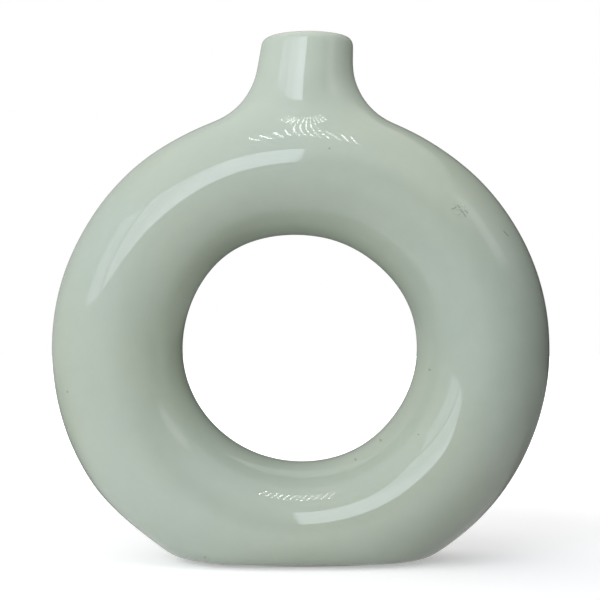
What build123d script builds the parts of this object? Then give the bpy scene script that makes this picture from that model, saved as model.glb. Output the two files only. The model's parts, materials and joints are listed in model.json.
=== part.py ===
from build123d import *

import os
from math import cos, radians, sin, tan

# Donut vase: a hollow ring of cast clay with a short neck and a flat foot, glazed outside and inside.
#
# The clay is one casting, so what can be told apart is the fired clay itself, the coat of glaze that
# covers it outside and turns in over the lip, and the coat that lines it and makes it hold water.
#
# Frame: +Z up, X from left to right seen from the front, Y from front to back. The origin is on the
# table, under the middle of the ring. Lengths are in millimetres and angles in degrees.

# Ring, measured over the glaze
ring_width = 190.0
tube_width = 49.8  # across the tube, from the outside of the ring to the hole
tube_depth = 56.0  # from front to back
base_cut = 12.0  # how much of the ring's height its flat underside takes away

# Neck, measured over the glaze
overall_height = 200.0
neck_height = 26.0  # from the top of the ring to the lip
lip_diameter = 34.8
lip_round = 3.0
neck_taper = 4.8
neck_lean = 5.0  # the neck was set a little off plumb, and its lip trimmed level
neck_shift = 0.6  # how far right of the middle its axis crosses the top of the ring
neck_flare = 25.5  # radius of the sweep from the neck down onto the ring
bore_diameter = 24.0
bore_round = 1.8  # rounding between the lip and the bore

# Walls
clay_wall = 4.6
glaze_thickness = 0.5
liner_thickness = 0.5
lip_turn_in = 4.0  # how far below the lip the outer glaze ends and the liner begins

# Foot
foot_round = 11.0  # rounding between the ring and its flat underside
foot_step = 0.8  # the bare foot stands this far below the glaze
foot_length = 82.0
foot_width = 29.0
foot_band = 5.0  # width of the rim that the vase stands on
foot_edge_round = 0.5
foot_recess = 2.0  # depth of the hollow inside that rim
glaze_margin = 1.2  # bare clay left between the foot and the edge of the glaze
floor_round = 6.0  # rounding of the cavity's flat floor

# Places worked out from the sizes above
crest_height = overall_height - neck_height
ring_tallness = crest_height + base_cut
hole_height = crest_height - ring_tallness / 2
path_half_width = (ring_width - tube_width) / 2
path_half_height = (ring_tallness - tube_width) / 2
seam_height = overall_height - lip_turn_in
clay_bore = bore_diameter / 2 + glaze_thickness
cavity_inset = glaze_thickness + clay_wall
clear = overall_height / 4  # overrun of the stems that are trimmed level


def ring(inset):
    """The tube bent round into a ring, its skin drawn in by inset. Front and back halves meet at the equators."""
    centre = (0, hole_height - path_half_height)
    half_depth = tube_depth / 2 - inset
    half_width = tube_width / 2 - inset
    with BuildPart() as tube:
        with BuildLine(Plane.XZ):
            EllipticalCenterArc(
                (0, hole_height), path_half_width, path_half_height, start_angle=270, arc_size=360
            )
        with BuildSketch(Plane.YZ):
            with BuildLine():
                EllipticalCenterArc(centre, half_depth, half_width, start_angle=90, arc_size=180)
                EllipticalCenterArc(centre, half_depth, half_width, start_angle=270, arc_size=180)
            make_face()
        sweep()
    return tube.part


def stem(lip_radius, taper, bottom, top):
    """A round stem on the neck's leaning axis, as wide as lip_radius at the lip, trimmed level at both ends."""
    lean = radians(neck_lean)
    start = bottom - clear
    across = neck_shift + (start - crest_height) * tan(lean)
    to_lip = (overall_height - start) / cos(lean)
    with BuildPart() as cone:
        with BuildSketch(Plane(origin=(across, 0, start), z_dir=(sin(lean), 0, cos(lean)))):
            Circle(lip_radius + to_lip * tan(radians(taper)))
        extrude(amount=to_lip + clear, taper=taper)
        split(bisect_by=Plane.XY.offset(bottom), keep=Keep.TOP)
        split(bisect_by=Plane.XY.offset(top), keep=Keep.BOTTOM)
    return cone.part


def necked_ring(inset, lip_radius, taper, top, underside_round):
    """Ring, stem and the sweep between them as one closed form, with a flat underside."""
    with BuildPart() as form:
        add(ring(inset))
        add(stem(lip_radius, taper, hole_height + path_half_height, top))
        fillet(form.edges(Select.NEW), neck_flare + inset)
        split(bisect_by=Plane.XY.offset(foot_step + inset), keep=Keep.TOP)
        fillet(form.faces().sort_by(Axis.Z)[0].edges(), underside_round)
    return form.part


def outside(inset):
    """The vase's outside drawn in by inset, over the lip and down the bore as far as the outer glaze goes."""
    with BuildPart() as form:
        add(
            necked_ring(
                inset, lip_diameter / 2 - inset, neck_taper, overall_height - inset, foot_round - inset
            )
        )
        fillet(form.faces().sort_by(Axis.Z)[-1].edges(), lip_round - inset)
        add(
            stem(bore_diameter / 2 + inset, 0, seam_height, overall_height),
            mode=Mode.SUBTRACT,
        )
        fillet(form.faces().sort_by(Axis.Z)[-1].edges().sort_by(SortBy.LENGTH)[0], bore_round - inset)
    return form.part


def cavity(inset):
    """The hollow inside the clay drawn in by inset, with the bore up to where the outer glaze ends."""
    return necked_ring(cavity_inset + inset, clay_bore - inset, 0, seam_height, floor_round)


def foot_oval(spread):
    """The outline of the foot, made larger all round by spread."""
    return Ellipse(foot_length / 2 + spread, foot_width / 2 + spread, mode=Mode.PRIVATE)


# The fired clay: one hollow casting with a bare foot
with BuildPart() as clay_body:
    add(outside(glaze_thickness))
    with BuildSketch():
        add(foot_oval(0))
    extrude(amount=foot_step + glaze_thickness)
    fillet(clay_body.faces().sort_by(Axis.Z)[0].edges(), foot_edge_round)
    with BuildSketch():
        add(foot_oval(-foot_band))
    extrude(amount=foot_recess, mode=Mode.SUBTRACT)
    fillet(clay_body.faces().sort_by(Axis.Z)[0].edges().sort_by(SortBy.LENGTH)[0], foot_edge_round)
    add(cavity(0), mode=Mode.SUBTRACT)

# The glaze outside, which ends round the foot and just inside the lip
with BuildPart() as outer_glaze:
    add(outside(0))
    add(outside(glaze_thickness), mode=Mode.SUBTRACT)
    with BuildSketch():
        add(foot_oval(glaze_margin))
    extrude(amount=foot_step + glaze_thickness, mode=Mode.SUBTRACT)

# The glaze inside, which lines the ring and the bore
with BuildPart() as inner_glaze:
    add(cavity(0))
    add(cavity(liner_thickness), mode=Mode.SUBTRACT)

os.makedirs("parts", exist_ok=True)
clay_body.part.label = "clay_body"
export_step(clay_body.part, "parts/clay_body.step")
outer_glaze.part.label = "outer_glaze"
export_step(outer_glaze.part, "parts/outer_glaze.step")
inner_glaze.part.label = "inner_glaze"
export_step(inner_glaze.part, "parts/inner_glaze.step")
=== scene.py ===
# %% [markdown]
# # A ring-shaped vase in a glossy sage glaze
#
# The real vase is cast from liquid clay in a plaster mould: a hollow ring that stands on edge on a
# small flat foot, with a short neck on top that was set a little off plumb. It is then dipped in
# glaze. Nothing on it is a straight tube or a true circle, and the slow waves in its skin are what
# make its reflections look like pottery and not like plastic.
#
# The imported solids give the true sizes. They are loaded as the frame, and every mesh below is
# pressed onto them before it is made uneven. Blender counts in metres, so a small size is
# written as so many mm.

import json
from math import atan2, cos, degrees, hypot, pi, radians, sin, tan

import bmesh
import bpy
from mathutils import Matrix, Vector


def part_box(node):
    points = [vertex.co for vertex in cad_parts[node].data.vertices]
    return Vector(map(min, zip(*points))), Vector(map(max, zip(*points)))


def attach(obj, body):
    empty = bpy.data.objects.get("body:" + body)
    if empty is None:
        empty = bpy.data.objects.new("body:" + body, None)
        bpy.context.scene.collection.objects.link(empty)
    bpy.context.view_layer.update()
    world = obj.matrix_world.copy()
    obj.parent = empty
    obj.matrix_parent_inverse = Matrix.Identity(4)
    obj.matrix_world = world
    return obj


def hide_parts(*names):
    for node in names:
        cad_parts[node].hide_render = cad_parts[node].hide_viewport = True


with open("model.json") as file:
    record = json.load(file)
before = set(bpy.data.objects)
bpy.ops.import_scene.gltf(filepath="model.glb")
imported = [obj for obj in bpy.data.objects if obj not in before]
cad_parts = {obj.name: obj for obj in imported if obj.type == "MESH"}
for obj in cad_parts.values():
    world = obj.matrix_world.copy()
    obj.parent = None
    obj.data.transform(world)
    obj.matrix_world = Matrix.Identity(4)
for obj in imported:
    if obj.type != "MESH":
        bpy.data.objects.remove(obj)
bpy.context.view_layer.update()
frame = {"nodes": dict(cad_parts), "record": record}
mm = 0.001

# %% [markdown]
# ## The sizes that the meshes start from
#
# A cage is only a rough start that is later pressed onto the solid, so a handful of sizes is
# enough. The box of the glaze gives the ring's width and depth and the height of the lip, and the
# mouth that the record states gives the bore and the lean of the neck. The rest are sizes of the
# vase that no box tells.

# %% Read the sizes
glaze_low, glaze_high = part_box("outer_glaze")
mouth = next(mount for mount in frame["record"]["mounts"] if mount["name"] == "mouth")
mouth_place = Vector(mouth["pos_m"])
mouth_axis = Vector(mouth["axis"])
bore_radius = mouth["dims"]["r_mm"] * mm
lip_height = glaze_high.z
lip_radius = 17.4 * mm

ring_centre = Vector((0, 0, 81 * mm))
ring_half_width = glaze_high.x
ring_half_height = 93 * mm
tube_half_width = 24.9 * mm
tube_half_depth = glaze_high.y
glaze_wall = 0.5 * mm
clay_wall = 4.6 * mm
seam_depth = 4 * mm  # how far below the lip the outer glaze meets the lining
foot_half_length = 42.2 * mm  # of the oval that is kept free of glaze
foot_half_width = 15.7 * mm


def neck_middle(height):
    """Where the leaning axis of the neck crosses a level plane."""
    return mouth_place + mouth_axis * ((height - mouth_place.z) / mouth_axis.z)


print("bore", bore_radius / mm, "mm, neck leans", round(mouth_axis.x / mm), "mm in a metre")

# %% [markdown]
# ## Small tools for the bench
#
# Blender's operators work on whatever is selected, so each step first selects one object alone,
# or opens it in edit mode with only the vertices or faces that pass a test on their place.
# Choosing by place and not by number keeps every step readable.

# %% Select and edit
def pick(piece):
    """Selects one object alone and makes it the active one."""
    bpy.ops.object.select_all(action="DESELECT")
    piece.select_set(True)
    bpy.context.view_layer.objects.active = piece


def open_up(piece, kind, chosen):
    """Opens a piece in edit mode with the vertices or faces selected that pass the test."""
    pick(piece)
    bpy.ops.object.mode_set(mode="EDIT")
    bpy.ops.mesh.select_mode(type=kind)
    bpy.ops.mesh.select_all(action="DESELECT")
    net = bmesh.from_edit_mesh(piece.data)
    for part in net.verts if kind == "VERT" else net.faces:
        place = part.co if kind == "VERT" else part.calc_center_median()
        part.select_set(bool(chosen(place)))
    net.select_flush(True)
    bmesh.update_edit_mesh(piece.data)


def close_up():
    """Leaves edit mode."""
    bpy.ops.object.mode_set(mode="OBJECT")


# %% [markdown]
# ## Modifiers as tools
#
# A modifier can stay live, so that its settings can still be changed, or be applied. Here each one
# is a tool that is used once and put down: it is added, set and applied, and the next step works
# on the result. A finished piece also has its place in its mesh and its object at the origin, so
# that a pattern that is worked out from the place sits right on it.

# %% Apply, freeze and copy
def apply_modifier(piece, name, kind, **settings):
    """Adds a modifier, gives it its settings and applies it."""
    pick(piece)
    modifier = piece.modifiers.new(name, kind)
    for setting, value in settings.items():
        setattr(modifier, setting, value)
    bpy.ops.object.modifier_apply(modifier=modifier.name)


def freeze_place(piece):
    """Puts a piece's place into its mesh, so that its object sits at the origin."""
    pick(piece)
    bpy.ops.object.transform_apply(location=True, rotation=True, scale=True)


same_place = 0.001 * mm  # corners closer than this are one corner


def copy_of_solid(node, name):
    """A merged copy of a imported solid, whose own mesh stays as it is."""
    copied = frame["nodes"][node].copy()
    copied.data = copied.data.copy()
    copied.name = name
    copied.parent = None
    for note in list(copied.keys()):
        del copied[note]
    bpy.context.scene.collection.objects.link(copied)
    open_up(copied, "VERT", lambda place: True)
    bpy.ops.mesh.remove_doubles(threshold=same_place)
    close_up()
    return copied


# %% [markdown]
# ## A cage for the ring and its neck
#
# The ring could be made by sweeping an oval along a curve, but a torus primitive already has the
# right flow of faces, round the ring and round the tube. The neck grows out of its crown, so a
# patch of faces has to make way there. It is found by place: how far along the ring a face lies,
# and whether it lies on the outside of the tube.

# %% Find the crown
turns_round_ring = 64
turns_round_tube = 32
patch_half_turn = radians(22.5)  # how far the crown's patch reaches along the ring, each way
patch_share = cos(radians(56))  # and round the tube, as the share of the tube that faces out
path_radius = (ring_half_width + ring_half_height) / 2 - tube_half_width


def on_crown(place, thickness):
    """True for the faces on the crown that make way for the neck."""
    across, up = place.x, place.z - ring_centre.z
    along = abs(atan2(across, up))
    outward = hypot(across, up) - path_radius
    return along < patch_half_turn and outward > patch_share * thickness


print("the tube bends round a radius of", round(path_radius / mm, 1), "mm")

# %% [markdown]
# ## One function for both cages
#
# The torus is turned upright and stretched to the ring's proportions. The patch is deleted, a
# circle is added where the neck turns upright, and the two open edges are bridged. That leaves
# four corners where five edges meet, on the shoulders, where the surface is calm enough to hide
# them. From the circle the neck climbs ring by ring, each one extruded from the last and scaled.
#
# The same steps make the outer skin and the lining of the hollow, so they are one function that
# takes how far the skin lies inside the glaze.

# %% Build the cage
bridge_cuts = 3  # how often the bridge is cut across


def select_edges_of_holes():
    """In edit mode, selects the open edges alone."""
    bpy.ops.mesh.select_mode(type="VERT")
    bpy.ops.mesh.select_all(action="DESELECT")
    bpy.ops.mesh.select_non_manifold()


def ring_cage(name, inset, neck_rings):
    """A torus with a hole in its crown, bridged to a neck that climbs ring by ring."""
    thickness = tube_half_width - inset
    mean = path_radius + thickness
    bpy.ops.mesh.primitive_torus_add(
        location=ring_centre, rotation=(pi / 2, 0, 0),
        major_segments=turns_round_ring, minor_segments=turns_round_tube,
        major_radius=path_radius, minor_radius=thickness,
    )
    cage = bpy.context.object
    cage.name = name
    freeze_place(cage)
    open_up(cage, "VERT", lambda place: True)
    stretch = (
        (ring_half_width - inset) / mean,
        (tube_half_depth - inset) / thickness,
        (ring_half_height - inset) / mean,
    )
    bpy.ops.transform.resize(value=stretch, center_override=ring_centre)
    close_up()
    open_up(cage, "FACE", lambda place: on_crown(place, thickness))
    bpy.ops.mesh.delete(type="FACE")
    select_edges_of_holes()
    edge_count = sum(vertex.select for vertex in bmesh.from_edit_mesh(cage.data).verts)
    height, radius = neck_rings[0]
    bpy.ops.mesh.primitive_circle_add(
        vertices=edge_count, radius=radius, location=neck_middle(height)
    )
    select_edges_of_holes()
    bpy.ops.mesh.bridge_edge_loops(number_cuts=bridge_cuts, interpolation="LINEAR")
    select_edges_of_holes()
    for next_height, next_radius in neck_rings[1:]:
        climb = neck_middle(next_height) - neck_middle(height)
        bpy.ops.mesh.extrude_region_move(TRANSFORM_OT_translate={"value": climb})
        share = next_radius / radius
        bpy.ops.transform.resize(
            value=(share, share, 1), center_override=neck_middle(next_height)
        )
        height, radius = next_height, next_radius
    bpy.ops.mesh.select_all(action="SELECT")
    bpy.ops.mesh.normals_make_consistent(inside=False)
    close_up()
    print(name, "starts with", len(cage.data.polygons), "faces,", edge_count, "round the neck")
    return cage


# %% [markdown]
# ## The outer skin
#
# The neck's rings follow its real profile: up the taper, round the lip, over its narrow top and
# down the bore to where the outer glaze stops. The cage stands a little proud of the glaze all
# over, so that pressing it inwards always finds the outer face of the thin coat first.

# %% Cage of the coat
proud = 0.6 * mm
neck_taper = tan(radians(4.8))
lip_round = 3 * mm
bore_round = 1.8 * mm
taper_drops = (13 * mm, 10 * mm, 7 * mm, 4.4 * mm, 2.4 * mm)  # rings below the lip, up the taper
shoulder_drop, shoulder_in = 0.6 * mm, 0.7 * mm  # of the ring in the middle of the lip's round
mouth_edge = 0.5 * mm  # how far the ring at the mouth's edge lies below the lip and out of the bore
coat_neck = [(lip_height - drop, lip_radius + proud + drop * neck_taper) for drop in taper_drops]
coat_neck += [
    (lip_height - shoulder_drop, lip_radius + proud - shoulder_in),
    (lip_height + proud, lip_radius + proud - lip_round),
    (lip_height + proud, bore_radius + bore_round),
    (lip_height - mouth_edge, bore_radius - proud + mouth_edge),
    (lip_height - bore_round, bore_radius - proud),
    (lip_height - seam_depth, bore_radius - proud),
]
coat = ring_cage("glaze_coat", -proud, coat_neck)

# %% [markdown]
# ## Press the cage onto the solid
#
# The solid is exact, but it is made of long thin triangles, which would show as streaks in a
# glossy glaze. The cage has even, square faces, so it is subdivided, shrinkwrapped to the solid
# and relaxed. Relaxing spreads the faces evenly over the flare, where the bridge had bunched
# them. The last subdivision comes after the last pressing, and irons out what is left of the
# solid's facets.
#
# The coat has a hole where the foot is. A skin that is pressed onto it would catch on the hole's
# edge, so the copy that it is pressed onto first has that hole covered by a flat oval.

# %% Press and relax
def press(skin, solid, clear):
    """Shrinkwraps a skin to a solid, relaxes it, lifts it clear, presses it again and rounds it."""
    apply_modifier(skin, "round", "SUBSURF", levels=1, render_levels=1)
    apply_modifier(skin, "press", "SHRINKWRAP", target=solid, wrap_method="NEAREST_SURFACEPOINT")
    apply_modifier(skin, "relax", "SMOOTH", factor=0.5, iterations=6)
    apply_modifier(skin, "lift", "DISPLACE", strength=clear, mid_level=0.0)
    apply_modifier(skin, "press", "SHRINKWRAP", target=solid, wrap_method="NEAREST_SURFACEPOINT")
    apply_modifier(skin, "round", "SUBSURF", levels=1, render_levels=1)
    bpy.data.objects.remove(solid)
    print(skin.name, "has", len(skin.data.polygons), "faces after pressing")


coat_solid = copy_of_solid("outer_glaze", "coat_solid")
underside = glaze_low.z
open_up(coat_solid, "VERT", lambda place: False)
bpy.ops.mesh.primitive_circle_add(
    vertices=96, radius=1, fill_type="NGON", location=(0, 0, underside)
)
cover = (foot_half_length + proud, foot_half_width + proud, 1)
bpy.ops.transform.resize(value=cover, center_override=(0, 0, underside))
close_up()
press(coat, coat_solid, proud)

# %% [markdown]
# ## The lining of the hollow
#
# Slip casting leaves the same wall everywhere, so the hollow is the ring again, drawn in by the
# glaze, the clay and the lining. Its cage is the same function with a larger inset. Here the cage
# has to stay on the empty side of the lining, so its neck is a plain narrow tube that starts low
# in the hollow.

# %% Cage and pressing of the lining
liner_inset = glaze_wall + clay_wall + glaze_wall + proud
liner_drops = range(28, -1, -4)  # millimetres below the seam
liner_neck = [(lip_height - seam_depth - drop * mm, bore_radius - proud) for drop in liner_drops]
liner = ring_cage("glaze_liner", liner_inset, liner_neck)
press(liner, copy_of_solid("inner_glaze", "liner_solid"), -proud)

# %% [markdown]
# ## The fired clay
#
# Of the clay only the dry foot shows, and the rest fills the space between the two glazes. Its
# solid is already right and its facets are hidden, so it stays as it is, as a merged copy that can
# be made uneven together with the glaze over it. Only the band just above the foot is sunk by
# 0.3 mm, so that no facet of it comes through where the glaze is rounded.

# %% Copy the clay
sunk_from, sunk_to = 1.3 * mm, 5.6 * mm  # heights of the band
sunk_by = 0.3 * mm
clay = copy_of_solid("clay_body", "fired_clay")
under_glaze = clay.vertex_groups.new(name="under_glaze")
low_skin = [v.index for v in clay.data.vertices if sunk_from < v.co.z < sunk_to]
under_glaze.add(low_skin, 1.0, "REPLACE")
apply_modifier(
    clay, "sink", "DISPLACE", strength=-sunk_by, mid_level=0.0, vertex_group=under_glaze.name
)
print("clay has", len(clay.data.polygons), "triangles,", len(low_skin), "corners sunk under the glaze")

# %% [markdown]
# ## Slow waves in the skin
#
# Clay that dries in a mould pulls unevenly, and glaze runs a little as it melts. The waves move
# the skin in or out by up to 0.15 mm over a few centimetres, and the ripples on them by less than
# a hundredth of a millimetre over one. They are too low to see in the outline, and plain to see
# in the edge of every reflection. They could be a bump in the material, but a real shape belongs
# in the mesh, so a displacement with a cloud texture makes them.

# %% Displace the coat
waves = [
    # name, length, and height from the lowest to the highest place
    ("drying_waves", 24 * mm, 0.3 * mm),
    ("glaze_ripples", 8 * mm, 0.015 * mm),
]


def add_waves(skin, name, wave_length, height):
    """Moves a skin in and out by a smooth cloud pattern."""
    pattern = bpy.data.textures.new(name, "CLOUDS")
    pattern.noise_scale = wave_length
    pattern.noise_depth = 0
    apply_modifier(
        skin, name, "DISPLACE", texture=pattern, texture_coords="LOCAL", strength=height, mid_level=0.5
    )


for name, wave_length, height in waves:
    add_waves(coat, name, wave_length, height)
print(len(waves), "kinds of waves, the higher", round(waves[0][2] / mm, 2), "mm high")

# %% [markdown]
# ## Give the skins their thickness
#
# A skin with no thickness would show its back in the mouth and leave an open shape. Solidify
# makes the coat half a millimetre thick, inwards, and the lining as thick, outwards into the clay.
# The foot is then freed of glaze as a potter does it with a wet sponge, here by cutting an oval
# out of the coat.

# %% Solidify and wipe the foot
sponge_height = 6 * mm

for skin, offset in ((coat, -1), (liner, 1)):  # -1 is inwards and 1 is outwards
    apply_modifier(
        skin, "thicken", "SOLIDIFY", thickness=glaze_wall, offset=offset, use_even_offset=True
    )

bpy.ops.mesh.primitive_cylinder_add(vertices=128, radius=1, depth=sponge_height, location=(0, 0, 0))
sponge = bpy.context.object
sponge.name = "sponge"
freeze_place(sponge)
open_up(sponge, "VERT", lambda place: True)
bpy.ops.transform.resize(value=(foot_half_length, foot_half_width, 1), center_override=(0, 0, 0))
close_up()
apply_modifier(coat, "wipe", "BOOLEAN", operation="DIFFERENCE", object=sponge, solver="EXACT")
bpy.data.objects.remove(sponge)
print("coat:", len(coat.data.polygons), "faces, lining:", len(liner.data.polygons), "faces")

# %% [markdown]
# ## Uneven
#
# The potter's thumbs left the ring a little off its ellipse. Each push below takes the surface
# round one point and moves it by a millimetre or so, fading out smoothly over its reach, as a
# thumb does in leather-hard clay. A Warp modifier does exactly that between two empties. The coat,
# the clay and the lining all get the same pushes, so the wall stays as thick as it was.

# %% Push the skins about
shoulder_distance = 96 * mm  # from the ring's centre to where the shoulders are pushed


def ring_point(angle, distance, depth=0):
    """A point at an angle round the ring's centre, counted from the right over the top."""
    turn = radians(angle)
    return ring_centre + Vector((distance * cos(turn), depth, distance * sin(turn)))


def outwards(angle, amount):
    """A shift away from the ring's centre, or towards it where the amount is negative."""
    turn = radians(angle)
    return Vector((amount * cos(turn), 0, amount * sin(turn)))


hole_radius = path_radius - tube_half_width
pushes = [
    # name, place, shift and reach
    ("hole_upper_left", ring_point(128, hole_radius), outwards(128, 1.7 * mm), 36 * mm),
    ("hole_bottom", ring_point(288, hole_radius), outwards(288, 0.3 * mm), 30 * mm),
    ("left_shoulder", ring_point(116, shoulder_distance), outwards(116, -0.4 * mm), 34 * mm),
    ("right_shoulder", ring_point(60, shoulder_distance), outwards(60, -0.3 * mm), 30 * mm),
    ("base_left", Vector((-64 * mm, 0, 8 * mm)), Vector((0.6 * mm, 0, 1.3 * mm)), 28 * mm),
    ("hole_right", ring_point(0, hole_radius), outwards(0, -0.6 * mm), 40 * mm),
    ("hole_upper_right", ring_point(46, hole_radius), outwards(46, -0.6 * mm), 26 * mm),
    ("hole_lower_right", ring_point(322, hole_radius), outwards(322, -0.3 * mm), 26 * mm),
    ("base_left_front", Vector((-50 * mm, -16 * mm, 4 * mm)), Vector((0, 0, 1.2 * mm)), 24 * mm),
    ("base_right_front", Vector((54 * mm, -16 * mm, 4 * mm)), Vector((0, 0, 0.6 * mm)), 22 * mm),
    ("lip_right", Vector((19 * mm, 0, 200 * mm)), Vector((0, 0, 0.3 * mm)), 18 * mm),
    ("flare_front", Vector((1 * mm, -21 * mm, 171 * mm)), Vector((0, -0.1 * mm, 0.45 * mm)), 19 * mm),
]


def push(pieces, name, start, shift, reach):
    """Warps pieces alike, from one point to another nearby."""
    ends = []
    for place in (start, start + shift):
        end = bpy.data.objects.new(name, None)
        end.location = place
        bpy.context.scene.collection.objects.link(end)
        ends.append(end)
    bpy.context.view_layer.update()
    for piece in pieces:
        apply_modifier(
            piece, name, "WARP", object_from=ends[0], object_to=ends[1],
            falloff_type="SMOOTH", falloff_radius=reach, strength=1.0,
        )
    for end in ends:
        bpy.data.objects.remove(end)


for name, start, shift, reach in pushes:
    push((coat, clay, liner), name, start, shift, reach)
furthest = max(shift.length for name, start, shift, reach in pushes)
print(len(pushes), "pushes, the largest of", round(furthest / mm, 2), "mm")

# %% [markdown]
# ## Shade smooth and hand over to the frame
#
# Each piece stands for its imported solid and rides on the one body that the vase is. The rims,
# where the skins end, stay crisp by the angle between their faces.

# %% Smooth, ride and replace
def hand_over(piece, node, crisp_angle):
    """Smooths a piece and lets it stand for its solid."""
    pick(piece)
    bpy.ops.object.shade_smooth_by_angle(angle=radians(crisp_angle))
    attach(piece, "root")
    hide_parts(node)


hand_over(coat, "outer_glaze", 50)
hand_over(liner, "inner_glaze", 50)
hand_over(clay, "clay_body", 40)

# %% [markdown]
# ## A bench for materials
#
# A material is a net of small nodes, each of which turns some values into another. Wiring them by
# hand in code fills pages, so a small class adds a node, sets it up and wires it in one line. The
# same class serves the materials and the light of the room.

# %% Add and wire nodes
class Wiring:
    """A net of nodes that are added one by one and wired as they come."""

    def __init__(self, tree):
        self.tree = tree

    def fill(self, node, socket, value):
        """Wires an input of a node to another node, or gives it a fixed value."""
        if isinstance(value, bpy.types.NodeSocket):
            self.tree.links.new(value, node.inputs[socket])
        else:
            node.inputs[socket].default_value = value

    def add(self, kind, inputs=(), **settings):
        """Adds a node, sets it up and fills its inputs by name or number."""
        node = self.tree.nodes.new(kind)
        for setting, value in settings.items():
            setattr(node, setting, value)
        for socket, value in dict(inputs).items():
            self.fill(node, socket, value)
        return node

    def math(self, operation, first, second=0.0):
        """A value worked out from one or two others."""
        return self.add("ShaderNodeMath", {0: first, 1: second}, operation=operation).outputs[0]

    def vectors(self, operation, first, second=(0, 0, 0)):
        """The outputs of a step that works on one or two vectors."""
        return self.add("ShaderNodeVectorMath", {0: first, 1: second}, operation=operation).outputs

    def plus(self, first, second):
        """The sum of two values."""
        return self.math("ADD", first, second)

    def times(self, first, second):
        """The product of two values."""
        return self.math("MULTIPLY", first, second)

    def larger(self, first, second):
        """The larger of two values."""
        return self.math("MAXIMUM", first, second)

    def smaller(self, first, second):
        """The smaller of two values."""
        return self.math("MINIMUM", first, second)

    def ramp(self, value, low, high, start=0.0, end=1.0, **settings):
        """Stretches a value between low and high to start and end, and holds it there."""
        inputs = {0: value, 1: low, 2: high, 3: start, 4: end}
        return self.add("ShaderNodeMapRange", inputs, **settings).outputs[0]

    def looked_at(self):
        """1 for the rays of the camera, of reflections and of glass, 0 for those that carry light."""
        rays = self.add("ShaderNodeLightPath").outputs
        seen = self.larger(rays["Is Camera Ray"], rays["Is Glossy Ray"])
        return self.larger(seen, rays["Is Transmission Ray"])


# %% [markdown]
# ## Patterns for a finish
#
# A finish is a material whose patterns all start from the place on the object, so they stick to
# the vase and hold from every side. Its colours are given as a screen shows them and turned into
# the linear light that Blender counts with.

# %% Build a finish
white = (1, 1, 1, 1)
black = (0, 0, 0, 1)
soft = (0.3, 0.7)  # the values of a noise between which a soft pattern rises


def linear(red, green, blue):
    """A colour seen on a screen, 0 to 255, as Blender's linear light."""
    shares = [channel / 255 for channel in (red, green, blue)]
    return [s / 12.92 if s <= 0.04045 else ((s + 0.055) / 1.055) ** 2.4 for s in shares] + [1]


class Finish(Wiring):
    """A material whose patterns start from the place on its object."""

    def __init__(self, name):
        self.material = bpy.data.materials.new(name)
        self.material.use_nodes = True
        super().__init__(self.material.node_tree)
        self.shader = self.tree.nodes["Principled BSDF"]
        self.place = self.add("ShaderNodeTexCoord").outputs["Object"]
        self.x, self.y, self.z = self.add("ShaderNodeSeparateXYZ", {0: self.place}).outputs

    def shade(self, socket, value):
        """Fills an input of the shader."""
        self.fill(self.shader, socket, value)

    def noise(self, size, detail=2.0, roughness=0.5):
        """A cloudy pattern, 0 to 1, with patches about as wide as size."""
        inputs = {"Vector": self.place, "Scale": 1 / size, "Detail": detail, "Roughness": roughness}
        return self.add("ShaderNodeTexNoise", inputs).outputs["Fac"]

    def mix(self, share, first, second):
        """A share of the second colour over the first."""
        return self.add("ShaderNodeMix", {0: share, 6: first, 7: second}, data_type="RGBA").outputs[2]

    def reach(self):
        """How far a place is from the origin."""
        return self.vectors("LENGTH", self.place)["Value"]

    def bump(self, height, distance):
        """Fine relief from a height pattern."""
        inputs = {"Strength": 1.0, "Distance": distance, "Height": height}
        return self.add("ShaderNodeBump", inputs).outputs["Normal"]


def dress(piece, material):
    """Gives a piece its one material."""
    piece.data.materials.clear()
    piece.data.materials.append(material)
    print(piece.name, "wears", material.name, "of", len(material.node_tree.nodes), "nodes")


# %% [markdown]
# ## Sage glaze
#
# The glaze is a smooth glass over pale clay. Its colour is not one flat tone: it drifts between a
# cooler and a warmer sage over several centimetres, where the coat is thicker or thinner, and it
# has a faint mottling a few millimetres wide. Up the neck it is painted paler, as painted light
# for the light that falls there, and round the lip it thins out in patches, so that the clay
# warms it. A few dark specks of iron have melted into it. Each of these is one layer over the
# last, so each is a function that takes a colour and gives one back.

# %% Mix the colour of the glaze
sage = linear(181, 192, 175)
cool_sage = linear(177, 190, 178)
warm_sage = linear(185, 193, 170)
mottled_sage = linear(160, 175, 158)
# painted light: a paler sage that stands in for the light that falls on the neck
painted_light_sage = linear(194, 205, 189)
thin_glaze = linear(197, 198, 184)
iron = linear(92, 96, 74)

drift_size = 60 * mm
drift_range = (0.35, 0.65)  # the values of its noise between which cool turns to warm
drift_share = 0.35
mottle_size = 7 * mm
mottle_share = 0.16
neck_light_from, neck_light_to = 160 * mm, 186 * mm  # heights between which painted light makes the glaze paler
neck_light_share = 0.55
thin_from, thin_to = 2.5 * mm, 0.2 * mm  # below the lip, where it thins out
thin_patch = 5 * mm
thin_range = (0.35, 0.7)
thin_shares = (0.3, 0.9)
speck_cell = 11 * mm  # some of the cells of this size hold a speck
speck_rims = (0.018, 0.03)  # where a speck starts to fade and where it ends, in cells
speck_share = 0.8
unspecked_share = 0.72  # of the cells


def drifting_sage(finish):
    """Sage that drifts from cool to warm, with a faint mottling."""
    drift = finish.ramp(finish.noise(drift_size, 1.0), *drift_range)
    colour = finish.mix(drift_share, sage, finish.mix(drift, cool_sage, warm_sage))
    mottle = finish.ramp(finish.noise(mottle_size, 4.0, 0.6), *soft, 0.0, mottle_share)
    return finish.mix(mottle, colour, mottled_sage)


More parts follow.
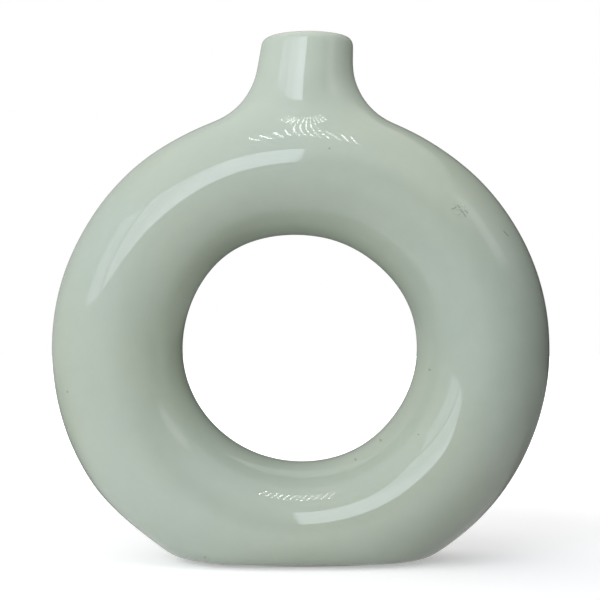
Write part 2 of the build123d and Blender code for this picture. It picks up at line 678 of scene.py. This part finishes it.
def neck_light_and_thin_lip(finish, colour):
    """Painted light that makes the neck paler, and glaze thin in patches round the lip."""
    # painted light: the neck is painted paler, as if it caught more light
    neck_light_mask = finish.ramp(finish.z, neck_light_from, neck_light_to, 0.0, neck_light_share)
    colour = finish.mix(neck_light_mask, colour, painted_light_sage)
    near_lip = finish.ramp(finish.z, lip_height - thin_from, lip_height - thin_to)
    patchy = finish.ramp(finish.noise(thin_patch, 3.0), *thin_range, *thin_shares)
    return finish.mix(finish.times(near_lip, patchy), colour, thin_glaze)


def iron_specks(finish, colour):
    """A small speck of iron in about a quarter of the cells."""
    inputs = {"Vector": finish.place, "Scale": 1 / speck_cell}
    cells = finish.add("ShaderNodeTexVoronoi", inputs, feature="F1").outputs
    speck = finish.ramp(cells["Distance"], *speck_rims, 1.0, 0.0)
    chance = finish.add("ShaderNodeSeparateColor", {0: cells["Color"]}).outputs[0]
    speck = finish.times(speck, finish.math("GREATER_THAN", chance, unspecked_share))
    return finish.mix(finish.times(speck, speck_share), colour, iron)


print("specks up to", round(2 * speck_rims[1] * speck_cell / mm, 2), "mm across")

# %% [markdown]
# ## Marks of firing and handling
#
# On the front there are six pinholes, where bubbles burst in the melting glaze, and on the upper
# right a few short scratches with hairlines between them. They could be painted on a picture and
# wrapped round the vase, but they are so few that each can be set by its place. Seen from the
# front a pinhole is a round dot, and a scratch is a row of dots so close that they touch. The
# hairlines are where a fine noise crosses its middle value, kept to one round patch.

# %% Mark the front
pinholes = [(48, 73), (-86, 65), (-35, 4.5), (20.5, 39.5), (10.5, 154), (30, 46.5)]
scratches = [
    ((75.1, 124.2), (76.7, 122.6)),
    ((57.3, 133.2), (58.0, 132.6)),
    ((58.5, 131.7), (60.2, 129.2)),
    ((60.2, 131.3), (61.1, 130.6)),
    ((55.2, 131.8), (56.6, 132.4)),
]
scuffed_place = (58.4, 131.4)  # like all places here, across and up from the origin, in millimetres
pinhole_radius = 0.6 * mm
scratch_radius = 0.36 * mm
scratch_step = 0.4  # millimetres from dot to dot
scuffed_radius = 3.6 * mm
hairline_size = 1.6 * mm
hairline_edges = (0.01, 0.05)  # how far off the middle value a hairline fades
dot_core = 0.4  # the share of a dot's radius that is darkest
scuff_colour = linear(128, 140, 126)
pinhole_share, scratch_share, hairline_share = 0.38, 0.44, 0.4  # how dark each is at most


def dots(finish, places, radius):
    """Round dots at places on the front, 1 inside and fading to 0 at the rim."""
    flat = finish.vectors("MULTIPLY", finish.place, (1, 0, 1))["Vector"]
    marks = 0.0
    for across, up in places:
        apart = finish.vectors("DISTANCE", flat, (across * mm, 0, up * mm))["Value"]
        marks = finish.larger(marks, finish.ramp(apart, dot_core * radius, radius, 1.0, 0.0))
    return finish.times(marks, finish.math("LESS_THAN", finish.y, 0.0))


def row_of_places(start, end):
    """Places from one end of a scratch to the other."""
    start, end = Vector(start), Vector(end)
    steps = round((end - start).length / scratch_step)
    return [start.lerp(end, step / steps) for step in range(steps + 1)]


def handling_marks(finish, colour):
    """Pinholes, scratches and hairlines over a colour."""
    holes = dots(finish, pinholes, pinhole_radius)
    colour = finish.mix(finish.times(holes, pinhole_share), colour, iron)
    places = [place for ends in scratches for place in row_of_places(*ends)]
    lines = dots(finish, places, scratch_radius)
    colour = finish.mix(finish.times(lines, scratch_share), colour, iron)
    off_middle = finish.math("ABSOLUTE", finish.math("SUBTRACT", finish.noise(hairline_size), 0.5))
    hairlines = finish.ramp(off_middle, *hairline_edges, hairline_share, 0.0)
    patch = dots(finish, [scuffed_place], scuffed_radius)
    return finish.mix(finish.times(hairlines, patch), colour, scuff_colour)


print(len(pinholes), "pinholes and", len(scratches), "scratches")

# %% [markdown]
# ## The gloss
#
# What makes glaze look like glaze is its sharp reflection. The roughness is low and rises a little
# in broad patches, and a bump far finer than anything that a mesh could carry makes the skin
# shiver. The lining is the same glaze, but nobody handles it, so it has no marks.

# %% Glaze the coat and the lining
gloss_patch = 24 * mm
dull_range = (0.55, 0.75)
smoothest = 0.04
duller_by = 0.05  # at most
peel_size = 3 * mm
peel_height = 0.0006 * mm
glass_ior = 1.5


def glaze(name, handled):
    """The glossy sage glaze, with or without the marks on its front."""
    finish = Finish(name)
    colour = iron_specks(finish, neck_light_and_thin_lip(finish, drifting_sage(finish)))
    if handled:
        colour = handling_marks(finish, colour)
    finish.shade("Base Color", colour)
    duller = finish.ramp(finish.noise(gloss_patch, 5.0, 0.7), *dull_range, 0.0, duller_by)
    finish.shade("Roughness", finish.plus(duller, smoothest))
    finish.shade("Normal", finish.bump(finish.noise(peel_size), peel_height))
    finish.shade("IOR", glass_ior)
    return finish.material


dress(coat, glaze("sage_glaze", handled=True))
dress(liner, glaze("lining_glaze", handled=False))

# %% [markdown]
# ## Bare fired clay
#
# The foot was wiped before the firing, so it is dry and matt: a warm buff that clouds over a
# centimetre, with a fine grain and a scatter of darker grog. A bump gives the grain its bite.

# %% Mix the clay
buff = linear(206, 194, 170)
dark_buff = linear(176, 160, 134)
grog = linear(120, 104, 84)
clay_cloud = 9 * mm
grog_size = 0.7 * mm
grog_range = (0.6, 0.72)
grog_share = 0.45
matt_patch = 3 * mm
matt_range = (0.72, 0.92)
grain_size = 0.5 * mm
grain_height = 0.06 * mm


def bare_clay(name):
    """Dry clay with its grain."""
    finish = Finish(name)
    cloud = finish.ramp(finish.noise(clay_cloud, 3.0), *soft)
    grains = finish.ramp(finish.noise(grog_size, 4.0, 0.7), *grog_range)
    colour = finish.mix(finish.times(grains, grog_share), finish.mix(cloud, buff, dark_buff), grog)
    finish.shade("Base Color", colour)
    finish.shade("Roughness", finish.ramp(finish.noise(matt_patch, 3.0), *soft, *matt_range))
    finish.shade("Normal", finish.bump(finish.noise(grain_size, 4.0, 0.7), grain_height))
    return finish.material


dress(clay, bare_clay("bare_clay"))

# %% [markdown]
# ## The floor
#
# The photograph was cut out onto plain white, so the floor is white too. Close to the vase it gets
# its brightness from real light, so that it keeps the soft shadow, and further out it turns into
# an even white. That white is a glow which only the camera, reflections and glass see, and which
# throws no light onto the vase. As a reflector of light the floor is bright on the left, where
# the window is, and dark on the right.

# %% Lay the floor
floor_side = 12
white_reach = (0.16, 0.6)  # from the vase, between which the floor turns into even white
near_glow = 0.4
seen_white = 0.82  # how white the floor is to the camera
lit_across = (-0.05, 0.25)  # between which the floor gets darker as a reflector of light
lit_levels = (0.9, 0.2)  # from what to what
paper_roughness = 0.9

bpy.ops.mesh.primitive_plane_add(size=floor_side, location=(0, 0, 0))
floor = bpy.context.object
floor.name = "floor"

paper = Finish("paper")
seen = paper.looked_at()
even_white = paper.ramp(paper.reach(), *white_reach, near_glow, 1.0)
reflector = paper.ramp(paper.x, *lit_across, *lit_levels)
reflector = paper.larger(reflector, paper.times(seen, seen_white))
paper.shade("Base Color", paper.mix(reflector, black, white))
paper.shade("Roughness", paper_roughness)
paper.shade("Specular IOR Level", 0.0)
paper.shade("Emission Color", white)
paper.shade("Emission Strength", paper.times(seen, even_white))
dress(floor, paper.material)

# %% [markdown]
# ## The light of the room
#
# The world is plain white to the camera, to reflections and to glass. As a light it is dimmer and
# comes from several broad sides, as in a room: most of it from above and from the left, least
# from the right. Each glow is a smooth lobe round one direction. A picture of a room would do the
# same, but lobes can be set one by one until the shading across the ring is that of the
# photograph.

# %% Light the room
lobes = [
    # azimuth, elevation and half angle in degrees, and how bright it is
    (0, 90, 40, 0.62),
    (180, 45, 50, 0.26),
    (-120, 45, 50, 0.32),
    (-135, 10, 52, 0.6),
    (-45, 10, 52, 0.4),
    (45, 10, 52, 0.05),
    (0, 10, 52, 0.1),
    (60, 45, 50, 0.2),
    (-75, 45, 50, 0.48),
    (0, 50, 45, 0.34),
]

world = bpy.data.worlds.new("room")
bpy.context.scene.world = world
world.use_nodes = True
room = Wiring(world.node_tree)
towards = room.add("ShaderNodeTexCoord").outputs["Generated"]


def direction(azimuth, elevation):
    """A direction in the studio: azimuth 0 is towards the camera and positive to the right."""
    turn, rise = radians(azimuth), radians(elevation)
    return Vector((sin(turn) * cos(rise), -cos(turn) * cos(rise), sin(rise)))


def glow_from(azimuth, elevation, half_angle, strength):
    """A smooth lobe of light round one direction."""
    facing = room.vectors("DOT_PRODUCT", towards, direction(azimuth, elevation))["Value"]
    rim = cos(radians(half_angle))
    return room.ramp(facing, rim, 1.0, 0.0, strength, interpolation_type="SMOOTHSTEP")


light = 0.0
for lobe in lobes:
    light = room.plus(light, glow_from(*lobe))
background = world.node_tree.nodes["Background"]
room.fill(background, "Color", white)
room.fill(background, "Strength", room.ramp(room.looked_at(), 0.0, 1.0, light, 1.0))
print(len(lobes), "lobes of light")

# %% [markdown]
# ## Lamps
#
# The world alone would leave the vase without a bright side, so area lamps add the light of a
# window on the left. What the glaze reflects is set apart from what lights it: these lamps are
# hidden from reflections, and panes with the right outline stand in for them further on. Two low
# fills lift the lower half, and a small narrow one above reaches the neck. Of all these only the
# lamp on the right is also reflected, as the faint streak on the upper right.

# %% Place the softboxes
key_tint = (0.95, 0.99, 1.2)
neck_fill_place = 0.4 * direction(58, 0) + Vector((0, 0, 0.42))
neck_fill_aim = Vector((0.01, 0, 0.19))
neck_fill_side = 0.08
neck_fill_spread = radians(40)


def softbox(name, place, aim, width, height, brightness):
    """A rectangular lamp whose face is that many times as bright as white."""
    lamp = bpy.data.lights.new(name, "AREA")
    lamp.shape = "RECTANGLE"
    lamp.size = width
    lamp.size_y = height
    lamp.energy = brightness * pi * width * height
    holder = bpy.data.objects.new(name, lamp)
    bpy.context.scene.collection.objects.link(holder)
    holder.location = place
    holder.rotation_euler = (place - aim).to_track_quat("Z", "Y").to_euler()
    holder.visible_camera = False
    return holder


def level_softbox(name, azimuth, distance, height, size, brightness):
    """A softbox that stands upright and faces the axis of the studio."""
    place = distance * direction(azimuth, 0)
    place.z = height
    return softbox(name, place, Vector((0, 0, height)), *size, brightness)


key = level_softbox("key", -21, 0.87, 0.441, (0.549, 0.43), 3.4)
key.data.color = key_tint
fill_neck = softbox("fill_neck", neck_fill_place, neck_fill_aim, neck_fill_side, neck_fill_side, 1.05)
fill_neck.data.spread = neck_fill_spread
hidden_lamps = [
    # azimuth, distance, height, size of the face and brightness
    key,
    fill_neck,
    level_softbox("key_side", -53.5, 0.9, 0.43, (0.42, 0.42), 1.65),
    level_softbox("fill_left", -62, 0.6, 0.06, (0.5, 0.12), 0.8),
    level_softbox("fill_front", 0, 1.2, 0.05, (0.6, 0.1), 2.0),
]
for lamp in hidden_lamps:
    lamp.visible_glossy = False
level_softbox("right", 62, 0.45, 0.36, (0.14, 0.2), 1.0)
print(len(hidden_lamps), "lamps that reflections don't see, and one that they do")

# %% [markdown]
# ## The comb of fine lines
#
# Below the neck and again below the hole the glaze shows a comb of a dozen bright strokes. They
# are slim tubes side by side under the ceiling, a little aslant. The strokes fan out where the
# flare of the neck is hollow, lie in a row where the ring bulges, and run through from one to the
# other in between. Their places are given as shares of their height, because a reflection only
# tells in which direction a lamp is: traced back from the photograph, the tubes lie at a third to
# three fifths of their height in front of the vase.

# %% Hang the tubes
tube_count = 12
tube_height = 1.2
tube_thickness = 3.6 * mm
tube_brightness = 32
row_share = 0.425  # how far across it is from the first tube to the last
near_share = (-0.168, -0.58)  # across and depth of the first tube's near end
far_share = (-0.208, -0.335)  # and of its far end


def tube_end(first_end, number):
    """The place of one end of a tube, counted from the left."""
    across = first_end[0] + row_share * number / (tube_count - 1)
    return Vector((across, first_end[1], 1)) * tube_height


for number in range(tube_count):
    near = tube_end(near_share, number)
    far = tube_end(far_share, number)
    middle = (near + far) / 2
    below = middle - Vector((0, 0, 1))
    length = (near - far).length
    tube = softbox(f"tube_{number}", middle, below, tube_thickness, length, tube_brightness)
    tube.rotation_euler.z = atan2(near.x - far.x, far.y - near.y)
print(tube_count, "tubes,", round(length, 2), "m long")

# %% [markdown]
# ## The room that the glaze reflects
#
# Behind the white cut-out there was a real room, and the glaze still shows it: the right edge of
# the ring, the inside of the hole and the upper rims are dark, without the white line that a white
# backdrop would draw there. So dim cards stand round the set, and only reflections see them. A
# card glows by a pattern and is open where its cover is 0, so that one round wall can be closed
# behind the vase and open in front.

# %% A card that only reflections see
room_radius = 1.6
hidden_from = ("camera", "diffuse", "transmission", "shadow", "volume_scatter")


def round_wall(radius, low, high, sides):
    """An upright wall all round the set."""
    bpy.ops.mesh.primitive_cylinder_add(
        vertices=sides, radius=radius, depth=high - low, end_fill_type="NOTHING",
        location=(0, 0, (low + high) / 2),
    )
    wall = bpy.context.object
    freeze_place(wall)
    return wall


def unseen_card(card, name, brightness, cover, tint=white):
    """Gives a card its glow and its cover, and hides it from all but reflections."""
    card.name = name
    finish = Finish(name)
    finish.shade("Base Color", black)
    finish.shade("Specular IOR Level", 0.0)
    finish.shade("Emission Color", tint)
    finish.shade("Emission Strength", brightness(finish))
    finish.shade("Alpha", cover(finish))
    dress(card, finish.material)
    for ray in hidden_from:
        setattr(card, "visible_" + ray, False)


# %% [markdown]
# ## The dim wall
#
# The wall is lighter on the left, where the window is, and towards the ceiling. In front it is
# lit near the floor, and open above the lamps.

# %% Stand the wall round the set
wall_top = 2.0
room_sides = (-0.5, 0.3)  # across, between which the room gets darker, and from what to what
side_levels = (0.4, 0.03)
front_depths = (-1.5, -0.6)
front_glow = 0.35  # added where the wall in front meets the table
front_glow_top = 0.35
ceiling_heights = (0.3, 1.6)
ceiling_glow = 0.25
closed_depths = (-0.5, 0.3)
open_heights = (0.5, 1.3)


def dim_level(finish):
    """Light on the left, dark on the right."""
    return finish.ramp(finish.x, *room_sides, *side_levels)


def in_front(finish):
    """1 far in front of the vase, fading to 0 towards it."""
    return finish.ramp(finish.y, *front_depths, 1.0, 0.0)


def wall_glow(finish):
    """Lighter towards the ceiling, and near the floor in front."""
    high = finish.ramp(finish.z, *ceiling_heights, 0.0, ceiling_glow)
    low = finish.times(finish.ramp(finish.z, 0.0, front_glow_top, front_glow, 0.0), in_front(finish))
    return finish.plus(dim_level(finish), finish.plus(high, low))


def wall_cover(finish):
    """Closed behind the vase, open above the lamps in front."""
    behind = finish.ramp(finish.y, *closed_depths)
    return finish.larger(behind, finish.ramp(finish.z, *open_heights, 1.0, 0.0))


unseen_card(round_wall(room_radius, 0, wall_top, 96), "dim_wall", wall_glow, wall_cover)

# %% [markdown]
# ## The dim table
#
# The underside of the ring and the floor of the hole reflect the table. It lies a hair above the
# white floor and is open close to the front of the vase, where the real floor shows the shadow.
# Where it meets the wall the two are equally bright, or a line would run through the reflections.

# %% Lay the table
table_height = 1 * mm
table_reach = (0.3, 1.5)  # from the vase, between which the table gets as light as the wall
table_shares = (0.5, 1.0)
lit_half_width = (0.12, 0.7)  # the lit stretch in front fades between these sizes
lit_back = (-0.1, 0.1)
lit_front = (-1.5, -0.4)
lit_glow = 0.7
beside_across = (0.04, 0.2)  # the glow on the right rises and fades between these
beside_reach = (0.6, 1.5)
beside_glow = 0.2
open_reach = (0.1, 0.24)
open_depths = (-0.05, 0.06)


def table_glow(finish):
    """Dim near the vase and as light as the wall where they meet, lit in front and on the right."""
    reach = finish.reach()
    level = finish.times(dim_level(finish), finish.ramp(reach, *table_reach, *table_shares))
    far = finish.times(in_front(finish), front_glow)
    near = finish.ramp(finish.math("ABSOLUTE", finish.x), *lit_half_width, lit_glow, 0.0)
    near = finish.times(near, finish.ramp(finish.y, *lit_back, 1.0, 0.0))
    near = finish.times(near, finish.ramp(finish.y, *lit_front))
    beside = finish.ramp(finish.x, *beside_across, 0.0, beside_glow)
    beside = finish.times(beside, finish.ramp(reach, *beside_reach, 1.0, 0.0))
    return finish.plus(level, finish.larger(far, finish.larger(near, beside)))


def table_cover(finish):
    """Open close to the front of the vase."""
    away = finish.ramp(finish.reach(), *open_reach)
    return finish.larger(away, finish.ramp(finish.y, *open_depths))


bpy.ops.mesh.primitive_circle_add(
    vertices=96, radius=room_radius, fill_type="NGON", location=(0, 0, table_height)
)
table = bpy.context.object
freeze_place(table)
unseen_card(table, "dim_table", table_glow, table_cover)

# %% [markdown]
# ## The window
#
# The long arc on the upper left, the upright streak on the neck and the short arc on the lower
# right are one window on the left. Its edges are crisp in the glaze, so its panes are drawn as a
# pattern on a card, by how far round the set and how high up they reach. The main pane leans a
# little and is brighter towards its right edge. A dimmer one beside it carries the arc on to the
# left, and a slim one above it gives a faint second line.

# %% Hang the window
window_radius = 0.87
window_low, window_high = 0.15, 1.35
window_left, window_right = -75, 8  # azimuths between which the card is kept
window_tint = (0.92, 0.98, 1.1, 1)
main_pane = (-40, 0.4, 0.226, 0.68)  # left and right azimuth, low and high edge
side_pane = (-67, -41, 0.22, 0.64)
upper_pane = (-38, -4, 1.0, 1.25)
main_turns = (-25, -13)  # azimuths between which the main pane gets brighter
main_brightness = (3.0, 4.6)
side_brightness, upper_brightness = 2.2, 1.3
main_fade, side_fade, upper_fade = 1.5, 9, 4  # degrees over which a left edge fades
lean_rate = 2.3  # degrees for each metre of height
lean_height = 0.44  # where a leaning pane is just where its azimuths say
right_fade = 0.4
low_fade, high_fade = 0.02, 0.012
covered_from = 0.8  # how bright a pane is where its card is closed


def pane(finish, turn, edges, left_fade):
    """1 inside a pane and 0 outside it, fading over a little at each edge."""
    left, right, low, high = edges
    from_left = finish.ramp(turn, left, left + left_fade)
    to_right = finish.ramp(turn, right - right_fade, right, 1.0, 0.0)
    from_low = finish.ramp(finish.z, low, low + low_fade)
    to_high = finish.ramp(finish.z, high - high_fade, high, 1.0, 0.0)
    return finish.smaller(finish.smaller(from_left, to_right), finish.smaller(from_low, to_high))


def window_glow(finish):
    """The main pane, the dimmer one beside it and the slim one above it."""
    turn = finish.math("DEGREES", finish.math("ARCTAN2", finish.x, finish.times(finish.y, -1.0)))
    lean = finish.times(finish.math("SUBTRACT", finish.z, lean_height), lean_rate)
    leant = finish.math("SUBTRACT", turn, lean)
    brighter_right = finish.ramp(leant, *main_turns, *main_brightness)
    main = finish.times(pane(finish, leant, main_pane, main_fade), brighter_right)
    side = finish.times(pane(finish, turn, side_pane, side_fade), side_brightness)
    upper = finish.times(pane(finish, leant, upper_pane, upper_fade), upper_brightness)
    return finish.larger(main, finish.larger(side, upper))


def window_cover(finish):
    """Open where there is no pane."""
    return finish.ramp(window_glow(finish), 0.0, covered_from)


def off_window(place):
    """True where the round wall isn't kept as the window's card."""
    return not window_left < degrees(atan2(place.x, -place.y)) < window_right


window = round_wall(window_radius, window_low, window_high, 180)
open_up(window, "FACE", off_window)
bpy.ops.mesh.delete(type="FACE")
close_up()
unseen_card(window, "window", window_glow, window_cover, window_tint)

# %% [markdown]
# ## Camera
#
# The outline of the ring, the rim of the lip and the curve of the base were fitted together to
# find where the camera stood: about half a metre away, a little below the middle of the vase and
# level with the hole. The lens follows from how large the vase is in the picture.

# %% Camera
camera_place = Vector((0, -531 * mm, 84.8 * mm))
camera_target = Vector((-0.25 * mm, 0, 99.4 * mm))
focal_length = 83.1  # in millimetres, as on a lens
camera_data = bpy.data.cameras.new("camera")
camera_data.lens = focal_length
camera = bpy.data.objects.new("camera", camera_data)
bpy.context.scene.collection.objects.link(camera)
camera.location = camera_place
camera.rotation_euler = (camera_target - camera_place).to_track_quat("-Z", "Y").to_euler()
bpy.context.scene.camera = camera
bpy.context.scene.view_settings.view_transform = "Standard"
print("camera", round((camera_target - camera_place).length, 3), "m from the vase")
